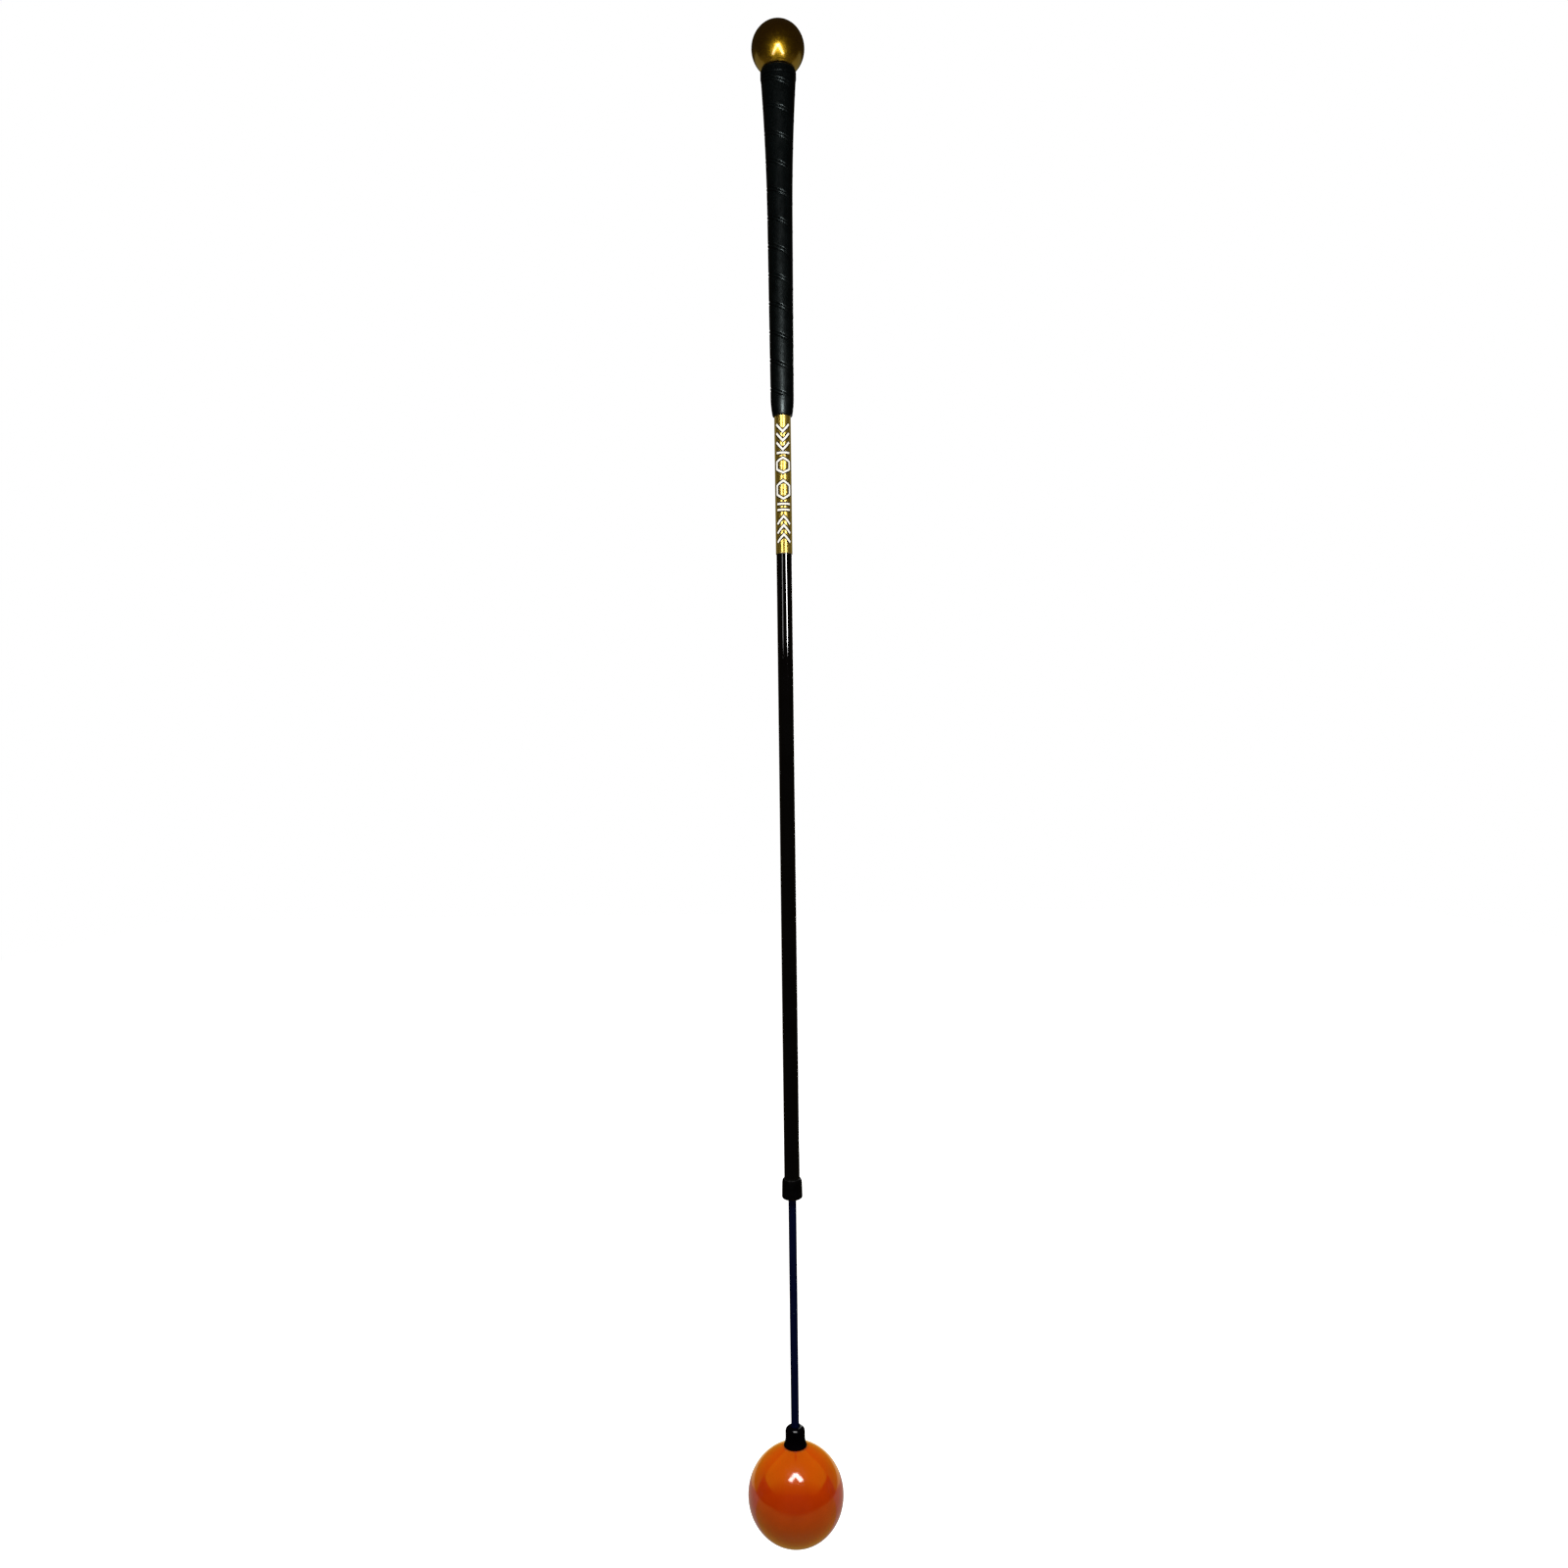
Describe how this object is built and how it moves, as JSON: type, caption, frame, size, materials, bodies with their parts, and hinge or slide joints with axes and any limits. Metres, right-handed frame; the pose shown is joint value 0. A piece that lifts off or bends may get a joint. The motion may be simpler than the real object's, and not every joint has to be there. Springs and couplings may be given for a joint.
{
  "type": "swing trainer stick",
  "caption": "Golf swing trainer: wrapped grip with a counterweight ball at the butt, a long tube, and a heavy ball on a thin flexible rod at the far end.",
  "frame": {"origin": "middle of the grip on the stick's axis, where hands hold it", "axes": "+Z along the stick from the head ball to the counterweight ball; the stick is round, so +X and +Y are any two directions across it"},
  "size_m": [0.0688, 0.0688, 1.0933],
  "materials": {
    "gold_paint": "satin",
    "gold_foil": "gloss",
    "grip_rubber": "satin",
    "grip_core_rubber": "matte",
    "grip_tape_paper": "matte",
    "black_gloss": "gloss",
    "black_plastic": "satin",
    "bush_plastic": "satin",
    "rod_glass_fibre": "gloss",
    "orange_gloss": "gloss",
    "core_iron": "matte",
    "bright_steel": "satin"
  },
  "bodies": {
    "handle": {"counterweight_ball": "gold_paint", "counterweight_washer": "bright_steel", "counterweight_stud": "bright_steel", "butt_anchor": "bright_steel", "grip_end_cap": "grip_rubber", "grip_underlisting": "grip_core_rubber", "grip_wrap": "grip_rubber", "grip_mouth_collar": "grip_rubber", "grip_tape": "grip_tape_paper", "label_sleeve": "gold_foil"},
    "tube": {"shaft_tube": "black_gloss"},
    "tip": {"tube_end_cap": "black_plastic", "rod_guide_bush": "bush_plastic", "rod_inner_bush": "bush_plastic"},
    "rod": {"flex_rod": "rod_glass_fibre"},
    "head": {"head_ferrule": "black_gloss", "head_shell": "orange_gloss", "head_weight_core": "core_iron", "rod_socket": "bright_steel", "lock_washer": "bright_steel", "lock_nut": "bright_steel"}
  },
  "joints": [
    {"name": "tube_bend_fore_aft", "type": "hinge", "parent": "handle", "child": "tube", "pos_m": [0, 0, -0.33543], "axis": [1, 0, 0], "range_deg": [-10, 10], "stiffness_Nm_per_rad": 97, "deforming": ["shaft_tube"]},
    {"name": "tube_bend_sideways", "type": "hinge", "parent": "tube", "child": "tip", "pos_m": [0, 0, -0.55988], "axis": [0, 1, 0], "range_deg": [-10, 10], "stiffness_Nm_per_rad": 97, "deforming": ["shaft_tube"]},
    {"name": "rod_bend_fore_aft", "type": "hinge", "parent": "tip", "child": "rod", "pos_m": [0, 0, -0.72752], "axis": [1, 0, 0], "range_deg": [-20, 20], "stiffness_Nm_per_rad": 26, "deforming": ["flex_rod"]},
    {"name": "rod_bend_sideways", "type": "hinge", "parent": "rod", "child": "head", "pos_m": [0, 0, -0.80958], "axis": [0, 1, 0], "range_deg": [-20, 20], "stiffness_Nm_per_rad": 26, "deforming": ["flex_rod"]}
  ]
}
